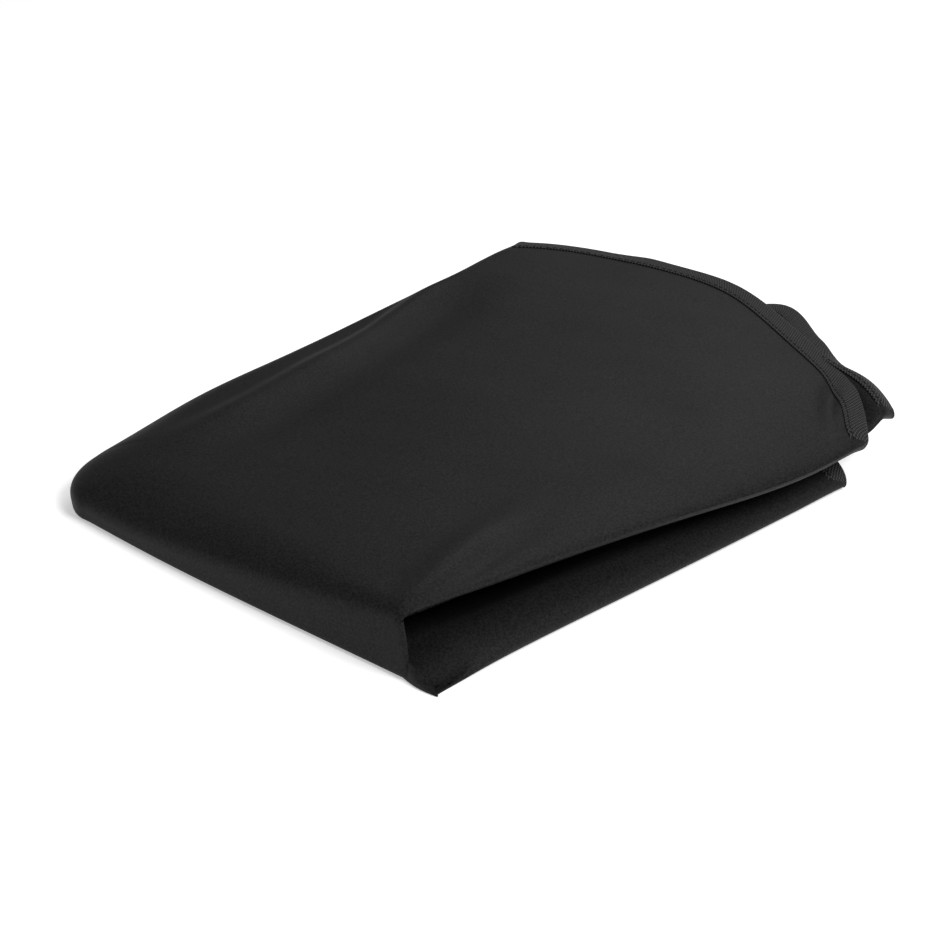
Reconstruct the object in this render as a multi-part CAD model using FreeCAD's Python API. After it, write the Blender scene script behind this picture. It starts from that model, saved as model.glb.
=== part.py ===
import FreeCAD
import Part

import math
import os

# Folded box-shaped grill cover: a main panel, two gusset panels tucked between its leaves, a bound hem.
#
# +Z is up. The origin is on the floor at the middle of the folded pack. -Y is the closed end, where the
# main panel wraps over the crown, and +Y is the open mouth with its bound hem. -X is the left gusset's
# side and +X the right gusset's side, whose tuck stands open.
#
# The cloth is cut at its folds, because each leaf of the pack turns about the crown's upper crease: the
# floor leaf stays down, the top leaf opens and the middle leaf follows it half way.

# Driving dimensions, in millimetres.
PACK_WIDTH = 267.0
PACK_DEPTH = 347.0
CROWN_HEIGHT = 28.0
MOUTH_LEFT_HEIGHT = 40.0
MOUTH_RIGHT_HEIGHT = 29.0
PILLOW_AT_CROWN = 2.0
PILLOW_AT_MOUTH = 6.5
CLOTH = 1.6
TAPE_WIDTH = 13.0
TAPE_LAYER = 0.8
THREAD = 0.5
STITCH_INSET = 9.5
STITCH_WIDTH = 0.9
SEAM_INSET = 3.0

# Places worked out from them.
LEFT = -PACK_WIDTH / 2
RIGHT = PACK_WIDTH / 2
CROWN_FACE = -PACK_DEPTH / 2
CROWN_CREASE = CROWN_FACE + 19.0
HEM_CREST = PACK_DEPTH / 2
FLOOR_LEVEL = CLOTH / 2

# Each ply's share of the pack's height, from the floor to the top leaf.
RIGHT_LOWER_SHARE = 0.19
RIGHT_UPPER_SHARE = 0.41
LEFT_LOWER_SHARE = 0.56
LEFT_UPPER_SHARE = 0.77
TOP_SHARE = 1.0

# How far the folds reach across the pack. The right lip and the flap draw in towards the crown.
LEFT_TURN = LEFT + CLOTH / 2
RIGHT_ROOT_TURN = LEFT + 22.0
LIP_AT_MOUTH = RIGHT - CLOTH / 2
LIP_AT_CROWN = 106.0
FLAP_AT_MOUTH = RIGHT - 10.0
FLAP_AT_CROWN = 118.0
CORNER_EDGE = 102.0
CORNER_RADIUS = 26.0
CREASE_GAP = 1.0
FOLD_GAP = 1.0
WRAP_SQUARENESS = 0.75

# Width of cloth in each fold, from its ply's edge to its turn.
SIDE_FOLD = 14.0
LIP_FOLD = 19.0
FLAP_FOLD = 10.0
ROOT_FOLD = 10.0
NESTED_FOLD = 22.0
LIP_TO_NESTED = 13.0

# Sections along the pack, from the crown's crease to just past the hem's crest.
SECTIONS = [CROWN_CREASE, -70.0, 10.0, 90.0, HEM_CREST + 4.0]
FLAT_SECTIONS = 3
HEM_LIFT = TAPE_LAYER + THREAD

# Hem lines, each from left to right, as (x, y) points of a smooth curve.
TOP_HEM = [(LEFT - 4, 137.0), (-75.0, 168.0), (-25.0, 172.0), (52.0, 148.0), (RIGHT + 4, 93.0)]
LEFT_UPPER_HEM = [(LEFT - 4, 118.0), (-60.0, 142.0), (24.0, HEM_CREST), (72.0, 151.0), (RIGHT + 4, 130.0)]
LEFT_LOWER_HEM = [(LEFT - 4, 112.0), (-60.0, 137.0), (20.0, 155.0), (RIGHT + 4, 121.0)]
RIGHT_UPPER_HEM = [(LEFT - 4, 122.0), (-60.0, 140.0), (20.0, 146.0), (RIGHT + 4, 90.0)]
RIGHT_LOWER_HEM = [(LEFT - 4, 118.0), (-60.0, 136.0), (20.0, 140.0), (RIGHT + 4, 86.0)]
FLOOR_HEM = [(LEFT - 4, 114.0), (-60.0, 142.0), (20.0, 146.0), (RIGHT + 4, 86.0)]


def along(y):
    """Share of the way from the crown's crease to the hem's crest."""
    return (y - CROWN_CREASE) / (HEM_CREST - CROWN_CREASE)


def left_turn(y):
    """Where the left folds turn."""
    return LEFT_TURN


def left_edge(y):
    """Left edge of the plies that the left folds join."""
    return LEFT_TURN + SIDE_FOLD


def lip_turn(y):
    """Where the right lip turns: it swings out from the front corner to the mouth."""
    return LIP_AT_MOUTH - (LIP_AT_MOUTH - LIP_AT_CROWN) * max(1 - along(y), 0.0) ** 2


def lip_edge(y):
    """Right edge of the top leaf and of the ply under it, where the lip begins."""
    return lip_turn(y) - LIP_FOLD


def nested_turn(y):
    """Where the left gusset's root turns, inside the right lip."""
    return lip_turn(y) - LIP_TO_NESTED


def nested_edge(y):
    """Right edge of the left gusset's plies."""
    return nested_turn(y) - NESTED_FOLD


def flap_turn(y):
    """Where the right gusset turns on the floor, from the front corner to the mouth."""
    return FLAP_AT_CROWN + (FLAP_AT_MOUTH - FLAP_AT_CROWN) * along(y)


def flap_edge(y):
    """Right edge of the floor leaf and of the ply on it."""
    return flap_turn(y) - FLAP_FOLD


def root_turn(y):
    """Where the right gusset's root turns, inside the left folds."""
    return RIGHT_ROOT_TURN


def root_edge(y):
    """Left edge of the right gusset's plies."""
    return RIGHT_ROOT_TURN + ROOT_FOLD


def save(name, shape):
    """Write one named piece, after making sure that it is made of closed solids."""
    if not shape.isValid() or not shape.Solids:
        raise RuntimeError(name + " is not a valid solid")
    print(name, len(shape.Solids), round(shape.Volume, 1))
    shape.exportStep("parts/" + name + ".step")


def top_level(x, y):
    """Height of the top leaf's middle surface: it climbs to the mouth and domes across the pack."""
    way = along(y)
    across = (x - LEFT) / PACK_WIDTH
    left = CROWN_HEIGHT + (MOUTH_LEFT_HEIGHT - CROWN_HEIGHT) * way
    right = CROWN_HEIGHT + (MOUTH_RIGHT_HEIGHT - CROWN_HEIGHT) * way
    pillow = PILLOW_AT_CROWN + (PILLOW_AT_MOUTH - PILLOW_AT_CROWN) * way
    return left * (1 - across) + right * across + 4 * pillow * across * (1 - across) - CLOTH / 2


def level(share, x, y):
    """Height of an inner ply's middle surface, a fixed share of the way up to the top leaf."""
    return FLOOR_LEVEL + share * (top_level(x, y) - FLOOR_LEVEL)


def smooth(points):
    """Smooth edge through points."""
    curve = Part.BSplineCurve()
    curve.interpolate([FreeCAD.Vector(*p) for p in points])
    return curve.toShape()


def offset_points(points, distance):
    """Points of a line in the XZ plane, moved sideways by distance along its normals."""
    moved = []
    last = len(points) - 1
    for i, (x, y, z) in enumerate(points):
        before = points[max(i - 1, 0)]
        after = points[min(i + 1, last)]
        run = after[0] - before[0]
        rise = after[2] - before[2]
        length = math.hypot(run, rise)
        moved.append((x - distance * rise / length, y, z + distance * run / length))
    return moved


def lofted(section, ruled=False):
    """Maker of a sheet of cloth at a given thickness, lofted through its sections along the pack."""

    def sheet(thickness):
        return Part.makeLoft([section(y, thickness) for y in SECTIONS], True, ruled)

    return sheet


def flat_faced(corners):
    """Maker of a sheet of cloth at a given thickness, with flat faces between its four-cornered sections."""

    def sheet(thickness):
        rings = [corners(y, thickness) for y in SECTIONS]
        outlines = [rings[0], rings[-1]]
        for ring, following in zip(rings, rings[1:]):
            for i in range(4):
                j = (i + 1) % 4
                outlines.append([ring[i], ring[j], following[j], following[i]])
        faces = [Part.Face(Part.makePolygon(outline + outline[:1])) for outline in outlines]
        return Part.makeSolid(Part.makeShell(faces)).removeSplitter()

    return sheet


def share_level(share):
    """Height function of the ply at this share."""
    return lambda x, y: level(share, x, y)


def floor_level(x, y):
    """Height of the floor leaf's middle surface: flat, then lifted over its own tape near the hem."""
    return FLOOR_LEVEL + (HEM_LIFT if y > SECTIONS[FLAT_SECTIONS - 1] else 0.0)


def ply(height, start, end):
    """Section function of a ply at this height that spans the pack from start to end."""
    steps = 6

    def section(y, thickness):
        width = end(y) - start(y)
        xs = [start(y) + width * i / steps for i in range(steps + 1)]
        middle = [(x, y, height(x, y)) for x in xs]
        over = offset_points(middle, thickness / 2)
        under = offset_points(middle, -thickness / 2)
        return Part.Wire([
            smooth(over),
            Part.makeLine(FreeCAD.Vector(*over[-1]), FreeCAD.Vector(*under[-1])),
            smooth(under[::-1]),
            Part.makeLine(FreeCAD.Vector(*under[0]), FreeCAD.Vector(*over[0])),
        ])

    return section


def level_ply(height, start, end):
    """Corners function of a ply that is level across the pack."""

    def corners(y, thickness):
        low = height(start(y), y) - thickness / 2
        high = low + thickness
        places = [(start(y), low), (end(y), low), (end(y), high), (start(y), high)]
        return [FreeCAD.Vector(x, y, z) for x, z in places]

    return corners


def fold(lower, upper, edge, turn):
    """Section function of a fold, whose two arms start beside the plies that it joins."""

    def section(y, thickness):
        way = 1 if turn(y) > edge(y) else -1
        start_x = edge(y) + way * FOLD_GAP
        low = lower(edge(y), y)
        high = upper(edge(y), y)
        middle = (low + high) / 2
        half = (high - low) / 2
        centre = turn(y) - way * half

        def bend(radius):
            """The fold's line at this radius: out, round and back."""
            top = FreeCAD.Vector(centre, y, middle + radius)
            nose = FreeCAD.Vector(centre + way * radius, y, middle)
            bottom = FreeCAD.Vector(centre, y, middle - radius)
            start = FreeCAD.Vector(start_x, y, middle + radius)
            end = FreeCAD.Vector(start_x, y, middle - radius)
            arc = Part.Arc(top, nose, bottom).toShape()
            return start, [Part.makeLine(start, top), arc, Part.makeLine(bottom, end)], end

        outer_start, outer, outer_end = bend(half + thickness / 2)
        inner_start, inner, inner_end = bend(half - thickness / 2)
        ends = [Part.makeLine(outer_end, inner_end), Part.makeLine(inner_start, outer_start)]
        return Part.Wire(outer + ends[:1] + inner[::-1] + ends[1:])

    return section


def hem_edge(hem, inset, height):
    """Hem line moved inward by inset, square to the hem, at this height."""
    curve = Part.BSplineCurve()
    curve.interpolate([FreeCAD.Vector(x, y, height) for x, y in hem])
    moved = []
    for x, y in hem:
        spot = FreeCAD.Vector(x, y, height)
        way = curve.tangent(curve.parameter(spot))[0]
        moved.append((x + way.y * inset, y - way.x * inset, height))
    return smooth(moved)


def behind_hem(hem, inset):
    """Block that holds everything further than inset inside the hem line."""
    low = -5.0
    high = 70.0
    edge = hem_edge(hem, inset, low)
    start = edge.Vertexes[0].Point
    end = edge.Vertexes[-1].Point
    back_left = FreeCAD.Vector(LEFT - 30, CROWN_FACE - 30, low)
    back_right = FreeCAD.Vector(RIGHT + 30, CROWN_FACE - 30, low)
    front_left = FreeCAD.Vector(LEFT - 30, start.y, low)
    front_right = FreeCAD.Vector(RIGHT + 30, end.y, low)
    corners = [end, front_right, back_right, back_left, front_left, start]
    lines = [Part.makeLine(a, b) for a, b in zip(corners, corners[1:])]
    outline = Part.Wire([edge] + lines)
    return Part.Face(outline).extrude(FreeCAD.Vector(0, 0, high - low))


def bound_sheet(name, sheet, hem, stitched=True):
    """Cloth trimmed to its hem, the tape folded over that hem, and the rows that stitch the tape on."""
    cloth = sheet(CLOTH).common(behind_hem(hem, TAPE_LAYER))
    taped = sheet(CLOTH + 2 * TAPE_LAYER)
    band = taped.common(behind_hem(hem, 0.0)).cut(behind_hem(hem, TAPE_WIDTH))
    save(name, cloth)
    save(name + "_hem_tape", band.cut(cloth))
    if stitched:
        threaded = sheet(CLOTH + 2 * TAPE_LAYER + 2 * THREAD)
        inside = behind_hem(hem, STITCH_INSET + STITCH_WIDTH)
        row = threaded.common(behind_hem(hem, STITCH_INSET)).cut(inside)
        save(name + "_hem_stitching", row.cut(taped))


def seam(name, sheet, place, lower, upper, hem):
    """Thread of a side seam: a raised row on both faces of a fold, at place, between two heights."""
    wires = []
    for y in SECTIONS:
        near = place(y)
        far = near + STITCH_WIDTH
        low = lower(near, y)
        high = upper(near, y)
        corners = [(near, low), (far, low), (far, high), (near, high), (near, low)]
        wires.append(Part.makePolygon([FreeCAD.Vector(x, y, z) for x, z in corners]))
    wall = Part.makeLoft(wires, True, False)
    row = sheet(CLOTH + 2 * THREAD).cut(sheet(CLOTH)).common(wall)
    save(name, row.common(behind_hem(hem, TAPE_WIDTH + CREASE_GAP)))


def crown_wrap():
    """The main panel where it wraps the closed end, from the floor up to the top leaf's crease."""
    low = FLOOR_LEVEL
    high = level(TOP_SHARE, 0.0, CROWN_CREASE)
    middle = (low + high) / 2
    half = (high - low) / 2
    bulge = CROWN_CREASE - CROWN_FACE - CLOTH / 2

    def side(offset):
        """Outline of the wrap in the YZ plane, moved outward by offset: a squared-off half round."""
        outline = [(CROWN_CREASE - CREASE_GAP, high + offset)]
        for degrees in (62, 34, 0, -34, -62):
            turned = math.radians(degrees)
            out = math.cos(turned) ** WRAP_SQUARENESS * (bulge + offset)
            up = math.copysign(abs(math.sin(turned)) ** WRAP_SQUARENESS, degrees) * (half + offset)
            outline.append((CROWN_CREASE - out, middle + (up if degrees else 0.0)))
        outline.append((CROWN_CREASE, low - offset))
        return [(LEFT, y, z) for y, z in outline]

    outer = side(CLOTH / 2)
    inner = side(-CLOTH / 2)
    wire = Part.Wire([
        smooth(outer),
        Part.makeLine(FreeCAD.Vector(*outer[-1]), FreeCAD.Vector(*inner[-1])),
        smooth(inner[::-1]),
        Part.makeLine(FreeCAD.Vector(*inner[0]), FreeCAD.Vector(*outer[0])),
    ])
    wrap = Part.Face(wire).extrude(FreeCAD.Vector(CORNER_EDGE - LEFT, 0, 0))
    plan = Part.makeBox(PACK_WIDTH, 120, 80, FreeCAD.Vector(LEFT, CROWN_FACE, 0))
    corner = []
    for edge in plan.Edges:
        if all(abs(v.X - LEFT) + abs(v.Y - CROWN_FACE) < 0.01 for v in edge.Vertexes):
            corner.append(edge)
    plan = plan.makeFillet(CORNER_RADIUS, corner)
    save("main_panel_crown_wrap", wrap.common(plan))


def corner_fold():
    """The pointed fold on the floor at the front corner, where the right gusset meets the crown."""
    heel = FreeCAD.Vector(CORNER_EDGE + 0.4, CROWN_FACE + 6, 0)
    tip = FreeCAD.Vector(FLAP_AT_CROWN - 3, CROWN_FACE + 11, 0)
    toe = FreeCAD.Vector(FLAP_AT_CROWN, CROWN_CREASE - 0.4, 0)
    inside = FreeCAD.Vector(CORNER_EDGE + 0.4, CROWN_CREASE - 0.4, 0)
    peak = FreeCAD.Vector(CORNER_EDGE + 0.4, CROWN_FACE + 10, CROWN_HEIGHT / 2)
    base = [heel, tip, toe, inside]
    faces = [Part.Face(Part.makePolygon(base + base[:1]))]
    for a, b in zip(base, base[1:] + base[:1]):
        faces.append(Part.Face(Part.makePolygon([a, b, peak, a])))
    save("right_gusset_corner_fold", Part.makeSolid(Part.makeShell(faces)))


def build():
    """Make every piece of the folded cover."""
    os.makedirs("parts", exist_ok=True)
    right_lower = share_level(RIGHT_LOWER_SHARE)
    right_upper = share_level(RIGHT_UPPER_SHARE)
    left_lower = share_level(LEFT_LOWER_SHARE)
    left_upper = share_level(LEFT_UPPER_SHARE)
    top = share_level(TOP_SHARE)

    crown_wrap()
    corner_fold()
    floor = flat_faced(level_ply(floor_level, left_edge, flap_edge))
    bound_sheet("main_panel_floor_leaf", floor, FLOOR_HEM)
    bound_sheet("right_gusset_lower_ply", lofted(ply(right_lower, root_edge, flap_edge)), RIGHT_LOWER_HEM)
    bound_sheet("right_gusset_upper_ply", lofted(ply(right_upper, root_edge, lip_edge)), RIGHT_UPPER_HEM)
    bound_sheet("left_gusset_lower_ply", lofted(ply(left_lower, left_edge, nested_edge)), LEFT_LOWER_HEM)
    bound_sheet("left_gusset_upper_ply", lofted(ply(left_upper, left_edge, nested_edge)), LEFT_UPPER_HEM)
    bound_sheet("main_panel_top_leaf", lofted(ply(top, left_edge, lip_edge)), TOP_HEM)

    flap = lofted(fold(floor_level, right_lower, flap_edge, flap_turn), ruled=True)
    right_root = lofted(fold(right_lower, right_upper, root_edge, root_turn))
    lip = lofted(fold(right_upper, top, lip_edge, lip_turn))
    nested = lofted(fold(left_lower, left_upper, nested_edge, nested_turn))
    left_side = lofted(fold(floor_level, left_lower, left_edge, left_turn), ruled=True)
    left_top = lofted(fold(left_upper, top, left_edge, left_turn))
    bound_sheet("right_gusset_flap_fold", flap, RIGHT_LOWER_HEM, stitched=False)
    bound_sheet("right_gusset_root_fold", right_root, RIGHT_UPPER_HEM, stitched=False)
    bound_sheet("main_panel_right_lip", lip, TOP_HEM, stitched=False)
    bound_sheet("left_gusset_root_fold", nested, LEFT_UPPER_HEM, stitched=False)
    bound_sheet("left_gusset_side_fold", left_side, LEFT_LOWER_HEM, stitched=False)
    bound_sheet("main_panel_left_fold", left_top, TOP_HEM, stitched=False)

    def beside_lip(y):
        return lip_edge(y) + SEAM_INSET

    def beside_flap(y):
        return flap_edge(y) + SEAM_INSET

    def beside_left(y):
        return left_edge(y) - SEAM_INSET

    low = share_level(0.1)
    inner = share_level(0.6)
    lip_middle = share_level((RIGHT_UPPER_SHARE + TOP_SHARE) / 2)
    left_middle = share_level((LEFT_UPPER_SHARE + TOP_SHARE) / 2)
    seam("right_lip_seam", lip, beside_lip, low, lip_middle, TOP_HEM)
    seam("left_edge_seam", left_top, beside_left, inner, left_middle, TOP_HEM)
    seam("right_floor_seam", flap, beside_flap, floor_level, right_lower, RIGHT_LOWER_HEM)
    seam("left_floor_seam", left_side, beside_left, floor_level, right_lower, LEFT_LOWER_HEM)


build()
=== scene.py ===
"""Looks of the folded grill cover: cloth panels, taped hems, stitches and seams on the CAD frame.

Shapes are worked out in millimetres in the row's frame and written in metres. +Y is the open mouth with
its bound hem, -Y the crown's fold, and +X the side whose tuck stands open.
"""

import math
import random

import bmesh
import bpy
import numpy as np
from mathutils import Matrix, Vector
from mathutils.bvhtree import BVHTree


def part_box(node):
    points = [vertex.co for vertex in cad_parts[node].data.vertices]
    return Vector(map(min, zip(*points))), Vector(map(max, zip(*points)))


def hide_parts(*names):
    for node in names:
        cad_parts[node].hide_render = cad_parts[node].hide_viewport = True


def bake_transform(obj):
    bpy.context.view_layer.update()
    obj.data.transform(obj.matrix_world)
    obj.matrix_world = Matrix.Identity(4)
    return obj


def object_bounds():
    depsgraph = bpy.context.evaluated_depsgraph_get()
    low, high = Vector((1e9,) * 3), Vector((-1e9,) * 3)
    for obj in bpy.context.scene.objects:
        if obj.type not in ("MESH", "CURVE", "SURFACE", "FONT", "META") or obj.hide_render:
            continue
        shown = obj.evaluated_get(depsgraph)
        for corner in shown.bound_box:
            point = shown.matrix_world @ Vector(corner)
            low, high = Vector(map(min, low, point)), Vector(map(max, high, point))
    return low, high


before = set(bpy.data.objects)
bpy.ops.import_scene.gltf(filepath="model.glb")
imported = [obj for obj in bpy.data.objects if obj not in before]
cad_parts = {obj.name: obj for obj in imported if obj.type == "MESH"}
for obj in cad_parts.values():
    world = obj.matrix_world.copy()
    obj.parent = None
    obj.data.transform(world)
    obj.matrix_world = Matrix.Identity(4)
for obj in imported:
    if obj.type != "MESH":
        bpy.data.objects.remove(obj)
cad_low, cad_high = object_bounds()

MM = 0.001

# Places read from the frame, in millimetres.
LEFT = cad_low.x / MM + 0.8
RIGHT = cad_high.x / MM - 0.8
CROWN = cad_low.y / MM
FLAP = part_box("right_gusset_flap_fold")[1].x / MM
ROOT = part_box("right_gusset_root_fold")[0].x / MM
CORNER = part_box("main_panel_crown_wrap")[1].x / MM + 0.6

# Cloth, tape and thread, in millimetres.
CLOTH_THICK = 0.55
TAPE_THICK = 0.75
TAPE_WIDTH = 11.0
STITCH_INSET = 9.2
STITCH_PITCH = 3.8
STITCH_LENGTH = 2.8
STITCH_RADIUS = 0.33
STITCH_BED = 0.12
SEAM_GAP = 2.4

# Height of cloth that lies on the floor, and how much higher its hem lies, with the tape below it.
FLOOR_REST = 0.35
HEM_REST = 1.1

# Insets of the tape's rows from the edge, closer together by its sunk row of stitches, and the step
# by which a hem is followed inward over the cloth.
TAPE_INSETS = [TAPE_WIDTH, 10.6, 10.1, 9.8, 9.5, 9.2, 8.9, 8.6, 7.6, 6.0, 4.5, 3.0, 1.6, 0.5]
WALK_STEP = 0.5

# Divisions of the main panel: down each side, round the crown, along the floor leaf.
SIDE_ROWS = 92
CROWN_COLUMNS = 90
FLOOR_ROWS = 40

# Divisions of a gusset, and the place across the pack where its profiles' places along it are exact.
GUSSET_ROWS = 64
GUSSET_COLUMNS = 200
PROFILE_X = 110.0

# Divisions of the stitches: where a stitch's rings are along it, its sides, and a seam row's points.
STITCH_RINGS = (-0.5, -0.38, -0.15, 0.15, 0.38, 0.5)
STITCH_SIDES = 6
SEAM_POINTS = 160


# ---------------------------------------------------------------- curves


def spline(knots, values):
    """Natural cubic spline through (knots, values), as a function of an array."""
    k = np.asarray(knots, float)
    v = np.asarray(values, float)
    n = len(k)
    h = np.diff(k)
    rows = np.eye(n)
    right = np.zeros(n)
    for i in range(1, n - 1):
        rows[i, i - 1 : i + 2] = h[i - 1], 2 * (h[i - 1] + h[i]), h[i]
        right[i] = 3 * ((v[i + 1] - v[i]) / h[i] - (v[i] - v[i - 1]) / h[i - 1])
    c = np.linalg.solve(rows, right)
    b = np.diff(v) / h - h * (2 * c[:-1] + c[1:]) / 3
    d = np.diff(c) / (3 * h)
    last_slope = b[-1] + 2 * c[-2] * h[-1] + 3 * d[-1] * h[-1] ** 2

    def at(x):
        x = np.asarray(x, float)
        inside = np.clip(x, k[0], k[-1])
        i = np.clip(np.searchsorted(k, inside) - 1, 0, n - 2)
        t = inside - k[i]
        beyond = np.where(x < k[0], b[0], last_slope) * (x - inside)
        return v[i] + b[i] * t + c[i] * t**2 + d[i] * t**3 + beyond

    return at


def step(x, low, high):
    """Smooth step from 0 at low to 1 at high."""
    t = np.clip((np.asarray(x, float) - low) / (high - low), 0, 1)
    return t * t * (3 - 2 * t)


def bump(x, middle, width):
    """Bell of height 1 about middle."""
    return np.exp(-(((np.asarray(x, float) - middle) / width) ** 2))


def noise(x, y, scale, seed):
    """Smooth wandering value about 0, made of a few sines."""
    dice = random.Random(seed)
    total = 0.0
    for _ in range(5):
        angle = dice.uniform(0, 2 * math.pi)
        pitch = scale * dice.uniform(0.7, 1.8)
        phase = dice.uniform(0, 2 * math.pi)
        total = total + np.sin((x * math.cos(angle) + y * math.sin(angle)) * 2 * math.pi / pitch + phase)
    return total / 5


def run_of(points):
    """Distance along a line of points, from its first."""
    return np.concatenate([[0], np.cumsum(np.linalg.norm(np.diff(points, axis=0), axis=1))])


def even(points, count):
    """Points evenly spaced along a smooth line through the given ones."""
    run = run_of(points)
    axes = range(points.shape[1])
    fine = np.linspace(0, run[-1], 12 * len(points))
    dense = np.stack([spline(run, points[:, i])(fine) for i in axes], axis=1)
    length = run_of(dense)
    places = np.linspace(0, length[-1], count)
    return np.stack([np.interp(places, length, dense[:, i]) for i in axes], axis=1)


def settle(grid, rounds):
    """Grid smoothed from row to row, with its first and last rows kept."""
    for _ in range(rounds):
        grid[1:-1] = (grid[:-2] + 2 * grid[1:-1] + grid[2:]) / 4
    return grid


# ---------------------------------------------------------------- meshes


def surface(name, patches, smooth_rounds=1):
    """Open surface from patches, each a grid of points and its flat places, joined where edges meet.

    The point attribute "weave" holds each point's place in the flat cloth, in metres.
    """
    verts, faces, weave = [], [], []
    for points, flat in patches:
        rows, cols = points.shape[:2]
        base = len(verts)
        verts.extend(points.reshape(-1, 3) * MM)
        weave.extend(flat.reshape(-1, 2) * MM)
        for r in range(rows - 1):
            for c in range(cols - 1):
                a = base + r * cols + c
                faces.append((a, a + 1, a + cols + 1, a + cols))
    mesh = bpy.data.meshes.new(name)
    mesh.from_pydata([tuple(v) for v in verts], [], faces)
    places = np.zeros((len(weave), 3), np.float32)
    places[:, :2] = weave
    mesh.attributes.new("weave", "FLOAT_VECTOR", "POINT").data.foreach_set("vector", places.ravel())
    thing = bpy.data.objects.new(name, mesh)
    bpy.context.scene.collection.objects.link(thing)
    bm = bmesh.new()
    bm.from_mesh(mesh)
    bmesh.ops.remove_doubles(bm, verts=bm.verts, dist=0.02 * MM)
    bmesh.ops.dissolve_degenerate(bm, edges=bm.edges, dist=0.01 * MM)
    bmesh.ops.recalc_face_normals(bm, faces=bm.faces)
    inner = [v for v in bm.verts if not v.is_boundary]
    for _ in range(smooth_rounds):
        axes = {"use_axis_x": True, "use_axis_y": True, "use_axis_z": True}
        bmesh.ops.smooth_vert(bm, verts=inner, factor=0.5, **axes)
    bm.to_mesh(mesh)
    bm.free()
    return thing


def bake(thing, kind, **settings):
    """Add one modifier and bake it into the mesh."""
    modifier = thing.modifiers.new(kind.title(), kind)
    for key, value in settings.items():
        setattr(modifier, key, value)
    graph = bpy.context.evaluated_depsgraph_get()
    mesh = bpy.data.meshes.new_from_object(thing.evaluated_get(graph))
    thing.modifiers.clear()
    old = thing.data
    thing.data = mesh
    bpy.data.meshes.remove(old)


def search_tree(thing):
    """Tree that finds the nearest place on an open surface."""
    mesh = thing.data
    return BVHTree.FromPolygons([v.co for v in mesh.vertices], [p.vertices for p in mesh.polygons])


def dress(thing, material, thickness):
    """Give an open surface its thickness, smooth shading and material."""
    thing.data.materials.clear()
    thing.data.materials.append(material)
    if thickness:
        bake(thing, "SOLIDIFY", thickness=thickness * MM, offset=0.0, use_even_offset=False)
    for face in thing.data.polygons:
        face.use_smooth = True
    return thing


# ---------------------------------------------------------------- shape of the folded pack

# Hem lines across the pack, from left to right.
top_hem = spline(
    [LEFT, -110, -72, -30, 10, 52, 86, 118, RIGHT + 3],
    [142, 157, 167.5, 172, 166.5, 148.5, 133, 110.5, 92],
)
left_upper_hem = spline(
    [LEFT, -60, 0, 18, 36, 54, 74, 100, 126],
    [120, 142, 168, 174.0, 169.5, 157, 145.5, 139, 129],
)
right_lower_hem = spline([LEFT, -60, 20, FLAP - 25, FLAP + 3], [118, 136, 140, 103, 91.5])
floor_hem = spline([LEFT, -60, 20, FLAP - 12], [114, 138, 136, 93])

# Lines along the pack, from the crown to the mouth.
lip_line = spline(
    [CROWN, -163, -150, -88, -16, 60, 84, 97],
    [102.6, 103.8, 106.2, 114.4, 126.0, 133.4, RIGHT + 0.3, RIGHT - 1.8],
)
lip_height = spline([CROWN, -160, -88, -16, 60, 84, 97], [29.0, 30.2, 30.8, 29.8, 27.0, 26.6, 24.8])
left_line = spline(
    [CROWN, -133, -85, -35, 16, 51, 84, 115, 180],
    [-123, -125, -128.5, -129, -132, -133, -131.5, -133.5, -133],
)
left_height = spline([CROWN, -146, -85, -22, 51, 115, 180], [7, 9, 18, 23, 27, 34, 38])
flap_line = spline([-164.5, -140, -38, 92, 180], [122.2, 121.6, 122.8, FLAP + 1.2, FLAP + 1.2])

# Heights of the top leaf away from its rolled edges: a row for each place along the pack, from the crown.
DOME_ACROSS = [LEFT, -95, -45, 10, 65, 105, RIGHT]
DOME_ALONG = [-170, -125, -65, 20, 90, 160]
DOME_HEIGHTS = [
    [18.0, 21.0, 24.0, 26.5, 29.0, 30.5, 30.0],
    [23.5, 26.0, 28.0, 30.0, 32.0, 33.0, 31.5],
    [28.5, 30.5, 32.0, 33.5, 35.0, 35.0, 33.0],
    [32.0, 34.0, 35.5, 37.0, 37.5, 36.5, 34.0],
    [38.0, 39.0, 39.5, 39.5, 38.5, 35.5, 32.0],
    [42.0, 42.8, 42.8, 41.5, 39.5, 35.0, 31.0],
]
dome_rows = [spline(DOME_ACROSS, row) for row in DOME_HEIGHTS]
dome_shares = [spline(DOME_ALONG, row) for row in np.eye(len(DOME_ALONG))]


def dome(x, y):
    """Height of the top leaf away from its rolled edges, smooth both ways through the table's heights."""
    x, y = np.broadcast_arrays(np.clip(x, LEFT, RIGHT), np.clip(y, DOME_ALONG[0], DOME_ALONG[-1] + 10))
    return sum(row(x) * share(y) for row, share in zip(dome_rows, dome_shares))


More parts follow.
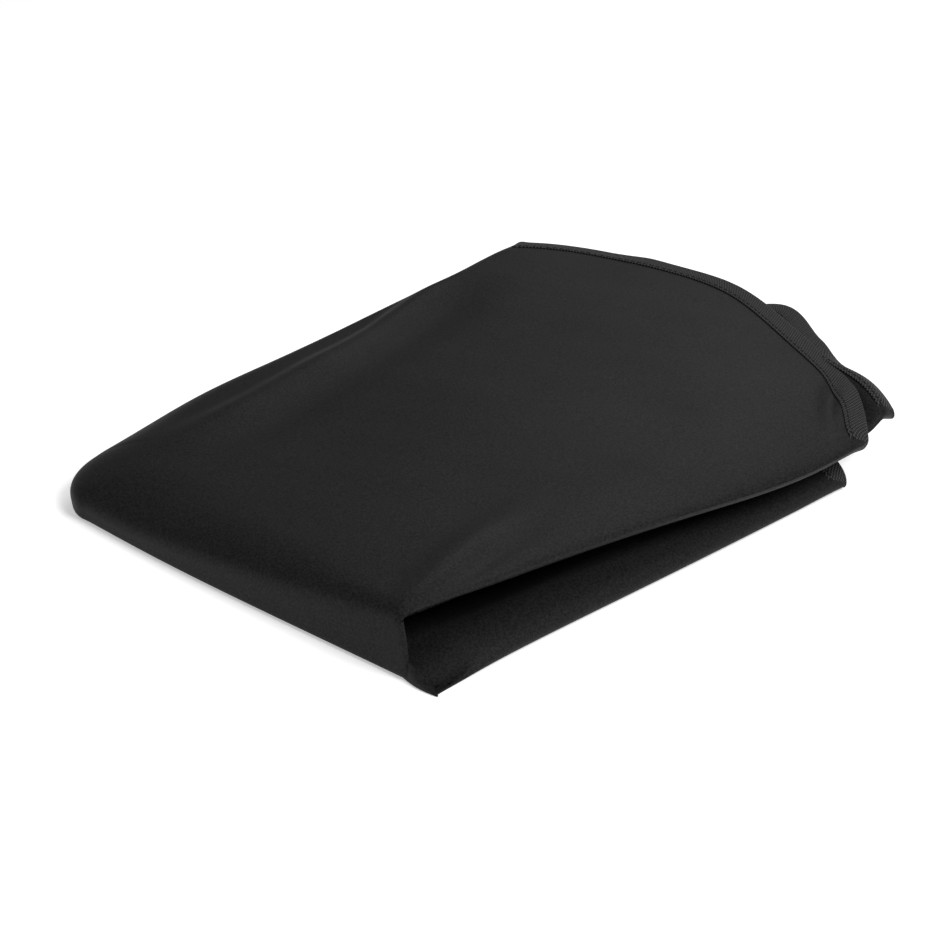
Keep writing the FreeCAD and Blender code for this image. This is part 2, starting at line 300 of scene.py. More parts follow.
def top_features(x, y):
    """Folds and dimples that the top leaf keeps from being packed."""
    ridge_line = spline([-150, -72, -32, 5, 50, 90], [-90, -96, -102, -108, -120, -128])(y)
    sharp = step(y, -60, 20)
    ridge_run = step(y, -150, -70) * (1 - step(y, 60, 105))
    ridge = 2.2 * bump(x, ridge_line, 8.0 - 3.0 * sharp) - 2.2 * bump(x, ridge_line + 24, 13)
    ridge = ridge - (1.5 + 1.2 * sharp) * bump(x, ridge_line - 12, 7.0)
    corner_line = spline([-168, -132, -90, -53], [105, 91, 82, 79])(y)
    crease = 3.0 * bump(x, corner_line, 8.0) * (1 - step(y, -125, -45)) * step(y, -172, -158)
    hollow = -2.6 * bump(x, corner_line + 16, 8) * (1 - step(y, -125, -70)) * step(y, -168, -150)
    dimple_line = spline([76, 88, 102, 118], [128, 116, 105, 97])(y)
    dimple = 2.6 * bump(x, dimple_line + 7, 6.0) - 4.2 * bump(x, dimple_line, 4.2)
    dimple = dimple * step(y, 70, 86) * (1 - step(y, 114, 128))
    sag = -2.8 * bump(x, -45, 38) * bump(y, -85, 60) + 1.6 * bump(x, 25, 50) * bump(y, 60, 70)
    ripples = 0.95 * noise(x, y, 80, 3) + 0.3 * noise(x, y, 38, 11)
    curl = 3.0 * (1 - step(x, -90, -60)) + 0.8
    droop = -curl * (1 + 0.9 * noise(x, 0, 60, 5)) * step(y, top_hem(x) - 17, top_hem(x))
    return ridge * ridge_run + crease + hollow + dimple + sag + ripples + droop


def ply_height(share, x, y):
    """Height of an inner ply at this share of the way up to the top leaf."""
    return 0.8 + share * (dome(x, y) - 2.5)


def rest_height(y, hem):
    """Least height of the cloth at y: just above the floor, and higher by its hem."""
    return FLOOR_REST + HEM_REST * step(y, hem - 35, hem - 16)


def edge_rounding(left, crown, right):
    """Radius and squareness of the rolled edge at each point of its three runs."""
    radius = [
        np.interp(left[:, 1], [-145, -80, -20, 60, 140], [34, 24, 16, 10, 8]),
        np.interp(crown[:, 0], [-123, -64, -20, 48, 90, CORNER], [36, 40, 32, 21, 13, 7]),
        np.interp(right[:, 1], [CROWN, -150, -90, -16, 70, 100], [7, 14, 26, 42, 46, 34]),
    ]
    square = [
        np.full(len(left), 2.2),
        np.interp(crown[:, 0], [-123, -60, 30, CORNER], [2.1, 2.1, 2.4, 2.8]),
        np.interp(right[:, 1], [CROWN, -150, -90], [2.8, 2.2, 1.7]),
    ]
    return np.concatenate(radius), np.concatenate(square)


def turn_line():
    """Where the top leaf's edge turns down: from the mouth's left end round the crown to its right end.

    Returns the points, each one's rounding radius and squareness, and matching points of an inner frame.
    """
    inner_left, inner_right, inner_front = LEFT + 62, 38.0, CROWN + 66
    corner_reach, corner_depth = 26.0, 27.0
    front = CROWN + corner_depth

    share = np.linspace(0, 1, SIDE_ROWS + 1)
    ys = top_hem(LEFT) + (front - top_hem(LEFT)) * share
    left = np.stack([left_line(ys), ys, left_height(ys)], axis=1)
    hem = top_hem(inner_left)
    inner = [np.stack([np.full(len(ys), inner_left), hem + (inner_front - hem) * share], axis=1)]

    turned = np.linspace(0, math.pi / 2, CROWN_COLUMNS // 5 + 1)[1:]
    reach = [1 - np.cos(turned) ** 1.15, np.sin(turned) ** 1.15]
    arc = np.stack([left[-1, 0] + corner_reach * reach[0], front - corner_depth * reach[1]], axis=1)
    xs = np.linspace(arc[-1, 0], CORNER, CROWN_COLUMNS - len(arc) + 1)[1:]
    bow = spline([-100, -45, 30, CORNER], [0.0, -0.4, 2.2, 6.0])(xs) + 0.5
    straight = np.stack([xs, CROWN + bow], axis=1)
    plan = np.concatenate([arc, straight])
    level_line = spline([-123, -60, -20, 20, 60, CORNER], [left[-1, 2], 8.5, 11.5, 15.0, 19.5, 26.5])
    level = level_line(plan[:, 0])
    crown = np.concatenate([plan, level[:, None]], axis=1)
    across = np.linspace(inner_left, inner_right, CROWN_COLUMNS + 1)[1:]
    inner.append(np.stack([across, np.full(CROWN_COLUMNS, inner_front)], axis=1))

    share = np.linspace(0, 1, SIDE_ROWS + 1)[1:]
    ys = plan[-1, 1] + 2.0 + (top_hem(RIGHT) - plan[-1, 1] - 2.0) * share
    right = np.stack([lip_line(ys), ys, lip_height(ys)], axis=1)
    hem = top_hem(inner_right)
    inner.append(np.stack([np.full(len(ys), inner_right), inner_front + (hem - inner_front) * share], axis=1))

    radius, square = edge_rounding(left, crown, right)
    return np.concatenate([left, crown, right]), radius, square, np.concatenate(inner)


def top_leaf():
    """The top leaf: its turn line, a band round its three rolled edges, and the field inside that band.

    Toward the mouth the band is shifted, so that its ends follow the hem.
    """
    line, radius, square, inner = turn_line()
    depth = np.linalg.norm(line[:, :2] - inner, axis=1)
    shares = np.concatenate([[0, 0.004, 0.012, 0.024, 0.04, 0.062, 0.09, 0.125], np.linspace(0.17, 1, 20)])
    side = np.linspace(0, 1, SIDE_ROWS + 1)
    near = np.concatenate([1 - step(side, 0, 0.5), np.zeros(CROWN_COLUMNS), step(side, 0.5, 1)[1:]])
    rows = []
    for share in shares:
        plan = line[:, :2] + (inner - line[:, :2]) * share
        ends = np.where(plan[:, 0] < 0, plan[0, 0], plan[-1, 0])
        chords = np.where(plan[:, 0] < 0, plan[0, 1], plan[-1, 1])
        plan[:, 1] += near * (top_hem(ends) - chords)
        over = np.clip(share * depth / radius, 0, 1)
        rise = (1 - (1 - over) ** square) ** (1 / square)
        full = dome(plan[:, 0], plan[:, 1]) + top_features(plan[:, 0], plan[:, 1]) * step(over, 0.1, 0.9)
        height = line[:, 2] + (full - line[:, 2]) * rise
        rows.append(np.concatenate([plan, height[:, None]], axis=1))
    band = np.array(rows)

    across = inner[SIDE_ROWS : SIDE_ROWS + CROWN_COLUMNS + 1, 0]
    front = inner[SIDE_ROWS, 1]
    rows = []
    for share in np.linspace(0, 1, SIDE_ROWS + 1):
        ys = front + (top_hem(across) - front) * share
        rows.append(np.stack([across, ys, dome(across, ys) + top_features(across, ys)], axis=1))
    return line, band, np.array(rows)


def under_edge(line, width, drop):
    """Rows that carry a rolled edge round below the leaf, from its turn line inward by width."""
    way = 1 if line[:, 0].mean() < 0 else -1
    rows = []
    for share in np.linspace(0, 1, 10):
        turned = min(share * 2.0, 1.0) * math.pi / 2
        back = max(share - 0.5, 0) / 0.5
        inward = drop * (1 - math.cos(turned)) + back * (width - drop)
        height = line[:, 2] - drop * math.sin(turned) - 0.6 * back
        rows.append(np.stack([line[:, 0] + way * inward, line[:, 1], height], axis=1))
    return np.array(rows)


def flat_of(grid):
    """Flat cloth places of a grid of points: distance along its rows and columns."""
    along = np.linalg.norm(np.diff(grid, axis=1, prepend=grid[:, :1]), axis=2).cumsum(axis=1)
    down = np.linalg.norm(np.diff(grid, axis=0, prepend=grid[:1]), axis=2).cumsum(axis=0)
    return np.stack([along, down], axis=2)


def crown_skirt(crown):
    """The crown's face: from the turn line down to the floor, tucked under at its foot."""
    foot_height = 2.6
    way = np.gradient(crown[:, :2], axis=0)
    way /= np.linalg.norm(way, axis=1)[:, None]
    inward = np.stack([-way[:, 1], way[:, 0]], axis=1)
    rows = []
    for share in np.linspace(0, 1, 12):
        fall = min(share / 0.6, 1)
        turned = max(share - 0.6, 0) / 0.4 * math.pi / 2
        tuck = 0.7 * fall + 3.2 * (1 - math.cos(turned))
        height = crown[:, 2] * (1 - fall) + foot_height * fall
        height = height - (foot_height - FLOOR_REST) * math.sin(turned)
        rows.append(np.concatenate([crown[:, :2] + inward * tuck, height[:, None]], axis=1))
    skirt = np.array(rows)
    below = crown[:, 2] - skirt[..., 2]
    skirt[..., 0] += 1.9 * step(skirt[..., 0], CORNER - 14, CORNER) * step(below, 0.5, 9)
    return skirt


def floor_leaf(foot):
    """The floor leaf: from the crown's foot back to its hem."""
    ends = np.linspace(LEFT + 14, FLAP - 12, len(foot))
    rows = []
    for share in np.linspace(0, 1, FLOOR_ROWS):
        x = foot[:, 0] + (ends - foot[:, 0]) * step(share, 0, 0.3)
        y = foot[:, 1] + (floor_hem(ends) - foot[:, 1]) * share
        rows.append(np.stack([x, y, rest_height(y, floor_hem(x))], axis=1))
    return np.array(rows)


def main_panel():
    """The long strip that makes the top leaf, the crown and the floor leaf.

    Returns it, the edges of its two hems, and the lines of the seams under its right and left edges.
    """
    line, band, field = top_leaf()
    first, last = SIDE_ROWS, SIDE_ROWS + CROWN_COLUMNS
    crown = line[first : last + 1]
    skirt = crown_skirt(crown)
    hang = skirt[..., :2].copy()
    hang[..., 1] -= crown[:, 2] - skirt[..., 2]
    floor = floor_leaf(skirt[-1])

    right, left = line[last + 1 :], line[: first + 1]
    grown = step(right[:, 1], CROWN + 8, -110)
    lip = under_edge(right, 1.5 + 11.5 * grown, 1.4 + 2.6 * grown)
    grown = step(left[:, 1], -146, -110)
    back = under_edge(left, 2.0 + 8.0 * grown, 1.5 + 3.0 * grown)

    patches = [(grid, grid[..., :2]) for grid in (band, field)]
    patches.append((skirt, hang))
    patches.extend((grid, grid[..., :2]) for grid in (floor, lip, back))
    patches.append(corner_return(skirt[:, -1]))
    panel = surface("main_panel", patches, smooth_rounds=2)
    bake(panel, "SUBSURF", levels=1, render_levels=1)

    hem = [back[::-1, 0], band[1:, 0], field[-1, 1:], band[-2::-1, -1], lip[1:, -1]]
    seam_row, seam_end = 7, 8
    return panel, np.concatenate(hem), floor[-1], lip[seam_row, seam_end:], back[seam_row, :-seam_end]


def corner_return(rim):
    """The crown's right end, rolled back into the pocket from its upright edge."""
    height = (rim[:, 2] - rim[:, 2].min()) / np.ptp(rim[:, 2])
    sway = 1.1 * np.sin(height * math.pi * 1.6)
    columns = [rim]
    for share in np.linspace(0.15, 1, 8):
        turned = min(share * 2, 1) * math.pi
        back = max(share - 0.5, 0) * 12
        x = rim[:, 0] + (0.9 + 0.4 * sway) * math.sin(turned) - back
        y = rim[:, 1] + 0.9 * (1 - math.cos(turned)) + 0.1 * back
        columns.append(np.stack([x, y, rim[:, 2]], axis=1))
    grid = np.stack(columns, axis=1)
    return grid, grid[..., 1:]


# ---------------------------------------------------------------- gussets


def swept(name, profile, hem_at, front_at, shift, patches=()):
    """Surface swept from the crown to the mouth: a profile of control points at each y, cut to a hem line.

    Returns it and its grid. The cloth stays above the floor, and higher by its hem, where the tape is.
    """
    grid = []
    for share in np.linspace(0, 1, GUSSET_ROWS):
        y = front_at + (hem_at(PROFILE_X) - front_at) * share
        across = even(np.array(profile(y), float), GUSSET_COLUMNS)
        ys = front_at + (hem_at(across[:, 0]) - front_at) * share
        grid.append(np.stack([across[:, 0], ys, across[:, 1]], axis=1))
    grid = np.array(grid)
    grid[..., 2] += shift(grid[..., 0], grid[..., 1], np.linspace(0, 1, GUSSET_COLUMNS))
    grid[..., 2] = np.maximum(grid[..., 2], rest_height(grid[..., 1], grid[-1, :, 1]))
    piece = surface(name, [(part, flat_of(part)) for part in (grid, *patches)])
    bake(piece, "SUBSURF", levels=1, render_levels=1)
    return piece, grid


def right_profile(y):
    """The right gusset across the pack: under the lip, in to its root, back over the flap, to the floor."""
    lip, lip_z, flap = float(lip_line(y)), float(lip_height(y)), float(flap_line(y))
    full = float(step(y, -166, -118))
    grown = float(step(y, CROWN + 8, -110))

    def at(share, x):
        return x, float(ply_height(share, x, y))

    crest = 10.6 * full + 1.0
    peak = 7.6 * (1 - full)
    return [
        (lip - 1.5 - 7.5 * grown, lip_z - 0.8 - 1.4 * grown),
        (lip - 26, float(ply_height(0.5, lip - 26, y))),
        at(0.41, 55),
        at(0.41, 0),
        at(0.41, -60),
        (ROOT + 7, float(ply_height(0.40, ROOT + 7, y))),
        (ROOT + 1.0, float(ply_height(0.3, ROOT, y))),
        (ROOT + 7, float(ply_height(0.2, ROOT + 7, y))),
        at(0.19, -60),
        at(0.19, 0),
        at(0.2, 55),
        (flap - 30, crest - 0.6 - 2.4 * full + 1.35 * peak),
        (flap - 15, crest + 0.2 + 0.6 * full + peak),
        (flap - 7, crest - 0.8 - 0.4 * full + 0.55 * peak),
        (flap - 3.0, 0.72 * crest + 0.15 * peak),
        (flap - 0.3, 0.36 * crest),
        (flap - 0.6, 0.14 * crest + 0.3),
        (flap - 3.5, FLOOR_REST + 0.1),
        (flap - 13, FLOOR_REST + 0.7),
    ]


def right_valley(x, y, across):
    """How far the right gusset dips behind its corner facet, where the two meet in a sharp fold."""
    dip = 6.0 * (1 - step(y, -163.0, -140))
    return -dip * step(x, 62, 98) * (1 - step(x, 116, 121.5)) * step(across, 0.5, 0.6)


def corner_patch():
    """The small facet of the right gusset that stands in front of its tuck, at the front corner."""
    foot, toe = np.array([101.2, -164.6, 0.4]), np.array([122.4, -165.0, 0.4])
    peak = np.array([103.4, -165.4, 10.4])
    rows = []
    for share in np.linspace(0, 0.97, 14):
        low = foot + (toe - foot) * share
        high = peak + (toe - peak) * share + np.array([0, 0, 1.2]) * math.sin(share * math.pi)
        belly = np.array([0.4, -1.7, 0.0]) * math.sin(share * math.pi)
        climb = np.linspace(0, 1, 9)[:, None]
        rows.append(low + (high - low) * climb + belly * np.sin((0.3 + 0.7 * climb) * math.pi))
    return np.array(rows)


def left_profile(y):
    """The left gusset: under the left edge, in to its root in the lip, back, and down to the floor."""
    edge, edge_z = float(left_line(y)) + 12 * (1 - float(step(y, -160, -128))), float(left_height(y))
    lip, side = float(lip_line(y)), 0.52 * float(left_height(y))
    root = lip - 13 + 11 * float(step(y, 92, 128))

    def at(share, x):
        return x, float(ply_height(share, x, y))

    return [
        (edge + 9, edge_z - 6.0),
        (edge + 24, float(ply_height(0.72, edge + 24, y))),
        at(0.77, -40),
        at(0.77, 20),
        at(0.77, 70),
        (root - 6, float(ply_height(0.74, root - 6, y))),
        (root, float(ply_height(0.66, root, y))),
        (root - 6, float(ply_height(0.57, root - 6, y))),
        at(0.56, 70),
        at(0.56, 0),
        at(0.56, -70),
        (edge + 18, side + 1.6),
        (edge + 8.0, side),
        (edge + 3.0, 0.7 * side),
        (edge + 2.2, 0.32 * side),
        (edge + 5.0, 0.9),
        (edge + 15, FLOOR_REST + 0.7),
    ]


def left_wave(x, y, across):
    """How far the left gusset's upper ply stands up at its hem, where it shows past the top leaf."""
    places = [LEFT, -40, 5, 20, 38, 60, 100, 126]
    rise = spline(places, [0.0, 0.0, 4.0, 8.0, 8.5, 9.0, 12.5, 11.5])(x)
    lag = 45 - 23 * step(x, 55, 95)
    near = step(y, left_upper_hem(x) - lag, left_upper_hem(x) - 5)
    curl = 8.0 * step(x, 62, 85) * step(y, left_upper_hem(x) - 11, left_upper_hem(x))
    return (rise * near - curl) * (1 - step(across, 0.44, 0.54))


# ---------------------------------------------------------------- tape and stitches


class Hem:
    """An edge of an open cloth surface, with ways to lay tape and stitches along it."""

    def __init__(self, cloth, edge, pitch, up_at):
        self.tree = search_tree(cloth)
        self.edge = even(edge, int(run_of(edge)[-1] / pitch))
        paths, normals = self.walk(up_at)
        self.paths = settle(paths, 2)
        self.normals = settle(normals, 6)
        self.normals /= np.linalg.norm(self.normals, axis=2)[:, :, None]

    def walk(self, up_at):
        """Places and normals met by walking inward over the cloth from each point of the edge.

        At the share up_at of the edge's length, the cloth's upper side faces up and inward is toward -Y.
        """
        ways = np.gradient(self.edge, axis=0)
        ways /= np.linalg.norm(ways, axis=1)[:, None]
        middle = int(len(self.edge) * up_at)
        _, normal, _, _ = self.tree.find_nearest(Vector(self.edge[middle] * MM))
        sign = -1.0 if normal.z < 0 else 1.0
        turn = 1.0 if Vector(ways[middle]).cross(normal * sign).y < 0 else -1.0
        paths, normals = [], []
        for spot, way in zip(self.edge, ways):
            here = Vector(spot * MM)
            _, normal, _, _ = self.tree.find_nearest(here)
            inward = Vector(way).cross(normal * sign) * turn
            path, facing = [np.array(spot)], [np.array(normal) * sign]
            for _ in range(int(TAPE_WIDTH / WALK_STEP) + 2):
                inward = (inward - normal * inward.dot(normal)).normalized()
                here, normal, _, _ = self.tree.find_nearest(here + inward * WALK_STEP * MM)
                path.append(np.array(here) / MM)
                facing.append(np.array(normal) * sign)
            paths.append(path)
            normals.append(facing)
        return np.array(paths), np.array(normals)

    def at(self, inset, side, lift):
        """Points along the hem, inset from the edge, lifted off one side of the cloth."""
        steps = inset / WALK_STEP
        low = min(int(steps), self.paths.shape[1] - 2)
        part = steps - low
        place = self.paths[:, low] * (1 - part) + self.paths[:, low + 1] * part
        facing = self.normals[:, low] * (1 - part) + self.normals[:, low + 1] * part
        return place + facing * side * lift

    def tape(self, name, material):
        """Tape folded over the edge, sunk a little along its rows of stitches and at its own edges."""
        lift = CLOTH_THICK / 2 + TAPE_THICK / 2
        over, under = [], []
        for inset in TAPE_INSETS:
            sunk = 0.3 * math.exp(-(((inset - STITCH_INSET) / 0.7) ** 2)) + 0.1 * (inset == TAPE_WIDTH)
            over.append(self.at(inset, 1, lift - sunk))
            under.append(self.at(inset, -1, lift - sunk))
        outward = self.edge - self.at(TAPE_INSETS[-1], 0, 0)
        outward /= np.linalg.norm(outward, axis=1)[:, None]
        rim = self.edge + outward * lift * 0.9
        grid = np.stack([*over, rim, *under[::-1]], axis=1)
        across = np.array([-inset for inset in TAPE_INSETS] + [0.0] + TAPE_INSETS[::-1])
        flat = np.stack(np.broadcast_arrays(run_of(self.edge)[:, None], across[None, :]), axis=2)
        piece = surface(name, [(grid, flat)], smooth_rounds=0)
        bake(piece, "SUBSURF", levels=1, render_levels=1)
        return dress(piece, material, TAPE_THICK)

    def stitches(self, name, material):
        """Rows of separate stitches on both faces of the tape."""
        lift = CLOTH_THICK / 2 + TAPE_THICK - STITCH_BED
        facing = self.normals[:, int(STITCH_INSET / WALK_STEP)]
        rows = [(self.at(STITCH_INSET, side, lift), facing * side) for side in (1, -1)]
        return stitch_rows(name, rows, material)


def along(place, run, values):
    """Point or direction at a distance along a line whose points lie at the distances in run."""
    return np.array([np.interp(place, run, values[:, axis]) for axis in range(3)])


def stitch_corners(middle, run, line, facing):
    """Corners of one stitch, ring by ring: a thread that is narrow and bedded at both ends."""
    corners = []
    for share in STITCH_RINGS:
        place = middle + share * STITCH_LENGTH
        centre, up = along(place, run, line), along(place, run, facing)
        side = np.cross(along(place + 0.2, run, line) - centre, up)
        side /= max(np.linalg.norm(side), 1e-6)
        swell = math.sqrt(max(1 - (share / 0.52) ** 2, 0.03))
        centre = centre - up * 0.35 * (1 - swell)
        for angle in np.linspace(0, 2 * math.pi, STITCH_SIDES + 1)[:-1]:
            outward = side * math.cos(angle) + up * math.sin(angle)
            corners.append(tuple((centre + outward * STITCH_RADIUS * swell) * MM))
    return corners


def stitch_faces(base):
    """Faces of one stitch whose corners start at base: the bands between its rings, and its two ends."""
    bands = len(STITCH_RINGS) - 1
    faces = []
    for band in range(bands):
        for k in range(STITCH_SIDES):
            a = base + band * STITCH_SIDES + k
            b = base + band * STITCH_SIDES + (k + 1) % STITCH_SIDES
            faces.append((a, b, b + STITCH_SIDES, a + STITCH_SIDES))
    faces.append(tuple(base + k for k in range(STITCH_SIDES - 1, -1, -1)))
    faces.append(tuple(base + bands * STITCH_SIDES + k for k in range(STITCH_SIDES)))
    return faces


def stitch_rows(name, rows, material):
    """Stitches laid end to end along rows, each a line and the directions that it faces."""
    verts, faces = [], []
    for line, facing in rows:
        run = run_of(line)
        for i in range(int(run[-1] / STITCH_PITCH)):
            faces.extend(stitch_faces(len(verts)))
            verts.extend(stitch_corners((i + 0.5) * STITCH_PITCH, run, line, facing))
    mesh = bpy.data.meshes.new(name)
    mesh.from_pydata(verts, [], faces)
    thing = bpy.data.objects.new(name, mesh)
    bpy.context.scene.collection.objects.link(thing)
    return dress(thing, material, 0)


# ---------------------------------------------------------------- materials


class Shade:
    """A Principled material under construction."""

    def __init__(self, name, roughness, specular, sheen):
        self.material = bpy.data.materials.new(name)
        self.material.use_nodes = True
        self.tree = self.material.node_tree
        self.shader = self.tree.nodes["Principled BSDF"]
        self.shader.inputs["Roughness"].default_value = roughness
        self.shader.inputs["Specular IOR Level"].default_value = specular
        self.shader.inputs["Sheen Weight"].default_value = sheen
        self.shader.inputs["Sheen Roughness"].default_value = 0.4

    def node(self, kind, **values):
        """Add a node; keyword values are its sockets' values, by name with underscores for spaces."""
        node = self.tree.nodes.new(kind)
        for key, value in values.items():
            node.inputs[key.replace("_", " ")].default_value = value
        return node

    def link(self, output, node, socket):
        """Join an output to a socket of a node."""
        self.tree.links.new(output, node.inputs[socket])

    def math(self, operation, first, second):
        """A Math node on outputs or numbers."""
        node = self.tree.nodes.new("ShaderNodeMath")
        node.operation = operation
        for i, value in enumerate((first, second)):
            if isinstance(value, (int, float)):
                node.inputs[i].default_value = value
            else:
                self.link(value, node, i)
        return node.outputs[0]

    def place(self):
        """The flat cloth place stored on the mesh."""
        node = self.tree.nodes.new("ShaderNodeAttribute")
        node.attribute_name = "weave"
        return node.outputs["Vector"]

    def solid_place(self):
        """The place in the piece's own space."""
        return self.node("ShaderNodeTexCoord").outputs["Object"]

    def waves(self, place, pitch, direction, distortion=0.4):
        """Bands of this pitch in metres across one direction."""
        node = self.node("ShaderNodeTexWave", Scale=0.31416 / pitch, Distortion=distortion, Detail=1.0)
        node.bands_direction = direction
        self.link(place, node, "Vector")
        return node.outputs["Fac"]

    def noise(self, place, scale, detail=3.0):
        """Noise of this scale."""
        node = self.node("ShaderNodeTexNoise", Scale=scale, Detail=detail)
        self.link(place, node, "Vector")
        return node.outputs["Fac"]

    def ramp(self, value, low, high, dark, light):
        """Colour from dark at low to light at high."""
        node = self.tree.nodes.new("ShaderNodeValToRGB")
        node.color_ramp.elements[0].position = low
        node.color_ramp.elements[0].color = (*dark, 1)
        node.color_ramp.elements[1].position = high
        node.color_ramp.elements[1].color = (*light, 1)
        self.link(value, node, "Fac")
        self.link(node.outputs["Color"], self.shader, "Base Color")

    def relief(self, height, strength, distance):
        """Bump from a height."""
        node = self.node("ShaderNodeBump", Strength=strength, Distance=distance)
        self.link(height, node, "Height")
        self.link(node.outputs["Normal"], self.shader, "Normal")

    def rough(self, value, low, high):
        """Roughness that wanders between low and high."""
        node = self.node("ShaderNodeMapRange", To_Min=low, To_Max=high)
        self.link(value, node, "Value")
        self.link(node.outputs["Result"], self.shader, "Roughness")


def cloth_material():
    """Black coated plain weave: fine threads in relief, a speckled coating and faintly rubbed patches."""
    shade = Shade("cover_cloth", 0.5, 0.09, 0.0)
    place = shade.place()
    threads = shade.math("MULTIPLY", shade.waves(place, 0.0007, "X"), shade.waves(place, 0.0007, "Y"))
    speckle = shade.noise(shade.solid_place(), 1100)
    shade.relief(shade.math("ADD", threads, speckle), 0.2, 0.0001)
    shade.ramp(speckle, 0.36, 0.64, (0.0058, 0.0058, 0.006), (0.0165, 0.0165, 0.0169))
    shade.rough(shade.noise(place, 16, 4.0), 0.5, 0.6)
    return shade.material


def tape_material():
    """Black woven tape: bead-like crossings in staggered rows, duller than the cloth, with painted shade
    between the beads and painted light on their tops.
    """
    shade = Shade("hem_tape", 0.75, 0.2, 0.02)
    place = shade.place()
    ribs = shade.math("SUBTRACT", shade.waves(place, 0.0019, "X", 0.2), 0.5)
    rows = shade.math("SUBTRACT", shade.waves(place, 0.0017, "Y", 0.2), 0.5)
    beads = shade.math("MULTIPLY", shade.math("MULTIPLY", ribs, rows), 2.0)
    fuzz = shade.math("MULTIPLY", shade.noise(place, 2600), 0.35)
    height = shade.math("ADD", shade.math("ADD", beads, 0.5), fuzz)
    shade.relief(height, 1.0, 0.0006)
    # Colour follows the bead height: painted shade, near black, in the grooves between the beads and painted
    # light on the bead tops, with some random tone from the fuzz.
    shade.ramp(height, 0.5, 1.0, (0.0005, 0.0005, 0.0005), (0.05, 0.05, 0.051))
    shade.rough(fuzz, 0.6, 0.8)
    return shade.material


def thread_material():
    """Black twisted thread."""
    shade = Shade("thread", 0.7, 0.2, 0.02)
    twist = shade.noise(shade.solid_place(), 3000, 2.0)
    shade.relief(twist, 0.5, 0.0002)
    shade.ramp(twist, 0.3, 0.8, (0.003, 0.003, 0.003), (0.011, 0.011, 0.011))
    return shade.material


def floor_material():
    """Matte white sweep, faintly mottled and lit from below like a light table."""
    shade = Shade("studio_floor", 0.85, 0.2, 0.0)
    shade.ramp(shade.noise(shade.solid_place(), 3.0), 0.3, 0.7, (0.92, 0.92, 0.92), (0.93, 0.93, 0.93))
    shade.shader.inputs["Emission Color"].default_value = (1, 1, 1, 1)
    shade.shader.inputs["Emission Strength"].default_value = 0.42
    return shade.material


# ---------------------------------------------------------------- studio


def make_camera():
    """Camera of the usual view, from the front corner, a little above."""
    data = bpy.data.cameras.new("camera")
    data.lens = 90
    data.sensor_width = 36
    data.clip_start = 0.05
    data.clip_end = 20
    camera = bpy.data.objects.new("camera", data)
    bpy.context.scene.collection.objects.link(camera)
    azimuth, elevation, distance = math.radians(45), math.radians(26), 1.1
    target = Vector((-7.5 * MM, -15.5 * MM, 0))
    flat = math.cos(elevation)
    back = Vector((math.sin(azimuth) * flat, -math.cos(azimuth) * flat, math.sin(elevation)))
    camera.location = target + back * distance
    camera.rotation_mode = "QUATERNION"
    camera.rotation_quaternion = (-back).to_track_quat("-Z", "Y")
    bpy.context.scene.camera = camera


def make_floor():
    """Large plain floor under the pack."""
    bpy.ops.mesh.primitive_plane_add(size=12, location=(0, 0, 0))
    floor = bpy.context.active_object
    floor.name = "studio_floor"
    floor.data.materials.append(floor_material())


def area_light(name, place, target, size, power):
    """Soft square light aimed at target."""
    data = bpy.data.lights.new(name, "AREA")
    data.size = size
    data.energy = power
    light = bpy.data.objects.new(name, data)
    light.location = place
    light.rotation_mode = "QUATERNION"
    light.rotation_quaternion = (Vector(target) - Vector(place)).to_track_quat("-Z", "Y")
    bpy.context.scene.collection.objects.link(light)


def make_studio():
    """White surroundings and two soft lights: from the back and from the right."""
    world = bpy.data.worlds.new("studio")
    world.use_nodes = True
    background = world.node_tree.nodes["Background"]
    background.inputs["Color"].default_value = (1, 1, 1, 1)
    background.inputs["Strength"].default_value = 0.27
    bpy.context.scene.world = world
    bpy.context.scene.view_settings.view_transform = "Standard"
    area_light("back", (-0.48, 1.04, 1.12), (0, 0, 0), 0.9, 6.0)
    area_light("right", (1.15, -0.1, 1.15), (0, 0, 0.03), 0.6, 19)


# ---------------------------------------------------------------- assembly


def bend(piece):
    """Bake a piece's placement into its mesh."""
    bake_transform(piece)
    return piece


def with_trim(panel, hem_pieces):
    for piece in [panel] + hem_pieces:
        bend(piece)


def bind_hem(panel, edge, pitch, up_at, name):
    """Tape and stitches along one edge of a panel that is still an open surface."""
    hem = Hem(panel, edge, pitch, up_at)
    return [hem.tape(name + "_hem_tape", tape), hem.stitches(name + "_hem_stitching", thread)]


def make_gusset(name, shape, up_at):
    """One gusset with the tape and stitches of its hem; shape is the surface and its grid."""
    panel, grid = shape
    trim = bind_hem(panel, grid[-1], 2.0, up_at, name)
    dress(panel, cloth, CLOTH_THICK)
    with_trim(panel, trim)
    return [panel] + trim


def stand_for(panel_name, parts, ending=""):
    """Hide the CAD nodes of these parts of a panel; the built pieces show in their place."""
    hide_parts(*[f"{panel_name}_{part}{ending}" for part in parts])


def make_seam(node, line, lift, inward):
    """Two rows of stitches that stand for one seam, lifted off a line on the cloth.

    A negative lift puts them below the cloth. The second row lies inward, the way along X given by a sign.
    """
    facing = np.tile([0, 0, math.copysign(1, lift)], (SEAM_POINTS, 1))
    shifts = [np.array([inward * SEAM_GAP * k, 0, lift]) for k in (0, 1)]
    rows = [(even(line + shift, SEAM_POINTS), facing) for shift in shifts]
    piece = bend(stitch_rows(node + "_stitching", rows, thread))
    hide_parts(node)


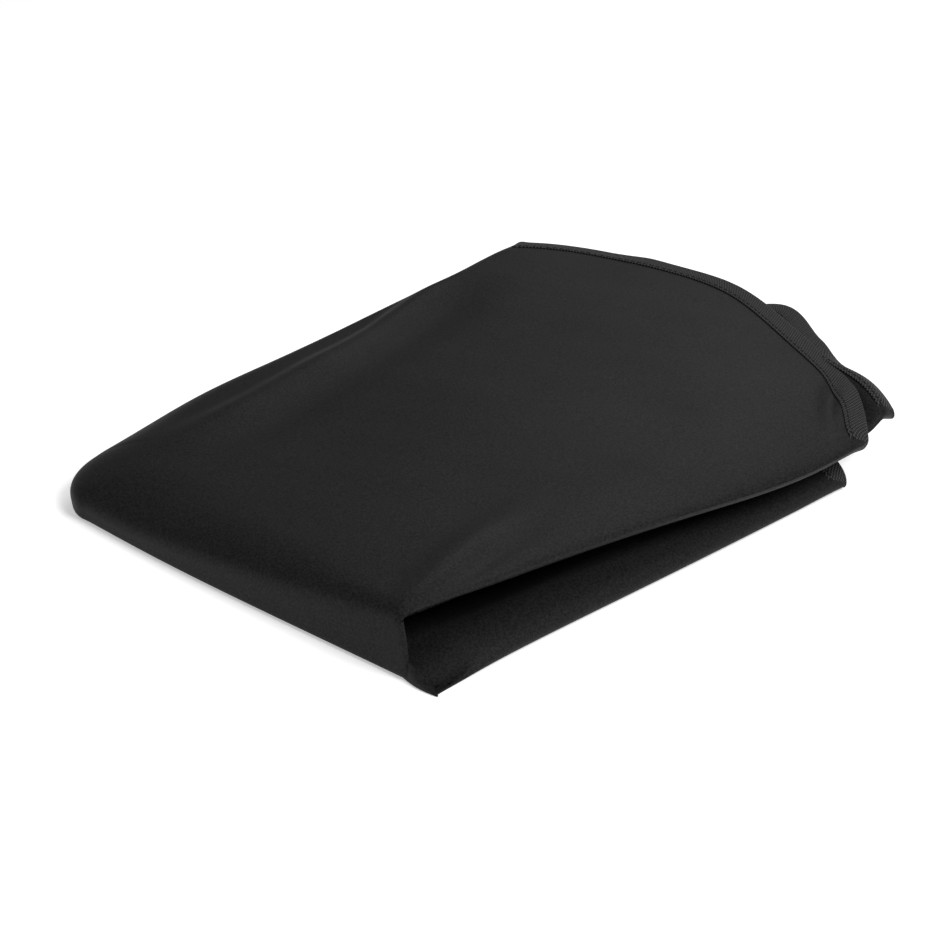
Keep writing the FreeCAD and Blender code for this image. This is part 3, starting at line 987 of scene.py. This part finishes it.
def floor_seam_line(edge_line, inset):
    """Line of a seam on the floor leaf, inset along X from the edge of the pack."""
    ys = np.linspace(-150, 72, 40)
    return np.stack([edge_line(ys) + inset, ys, np.full(len(ys), FLOOR_REST)], axis=1)


make_camera()
make_studio()
make_floor()

cloth = cloth_material()
tape = tape_material()
thread = thread_material()

# The main panel, with the bound hems of its top leaf and of its floor leaf.
panel, top_edge, floor_edge, lip_under, left_under = main_panel()
top_tape, top_stitches = bind_hem(panel, top_edge, 1.6, 0.5, "main_panel_top")
floor_tape, floor_stitches = bind_hem(panel, floor_edge, 2.0, 0.5, "main_panel_floor")
dress(panel, cloth, CLOTH_THICK)
with_trim(panel, [top_tape, top_stitches, floor_tape, floor_stitches])

# The two gussets.
right_shape = swept("right_gusset", right_profile, right_lower_hem, -164.5, right_valley, [corner_patch()])
right = make_gusset("right_gusset", right_shape, 0.25)
left_shape = swept("left_gusset", left_profile, left_upper_hem, -158.0, left_wave)
left = make_gusset("left_gusset", left_shape, 0.2)

# The CAD nodes that they stand for.
stand_for("main_panel", ("top_leaf", "right_lip", "left_fold", "crown_wrap", "floor_leaf"))
stand_for("main_panel", ("top_leaf", "right_lip", "left_fold"), "_hem_tape")
stand_for("main_panel", ("top_leaf",), "_hem_stitching")
stand_for("main_panel", ("floor_leaf",), "_hem_tape")
stand_for("main_panel", ("floor_leaf",), "_hem_stitching")
for name, outer_fold, pieces in (("right_gusset", "flap_fold", right), ("left_gusset", "side_fold", left)):
    plies = ("upper_ply", "lower_ply")
    stand_for(name, (*plies, "root_fold", outer_fold))
    stand_for(name, (*plies, "root_fold", outer_fold), "_hem_tape")
    stand_for(name, plies, "_hem_stitching")
stand_for("right_gusset", ("corner_fold",))

# The four long seams that join the panel to the gussets.
make_seam("right_lip_seam", lip_under, -0.6, -1)
make_seam("left_edge_seam", left_under, -0.6, 1)
make_seam("right_floor_seam", floor_seam_line(flap_line, -8), 0.9, -1)
make_seam("left_floor_seam", floor_seam_line(left_line, 9), 0.9, 1)
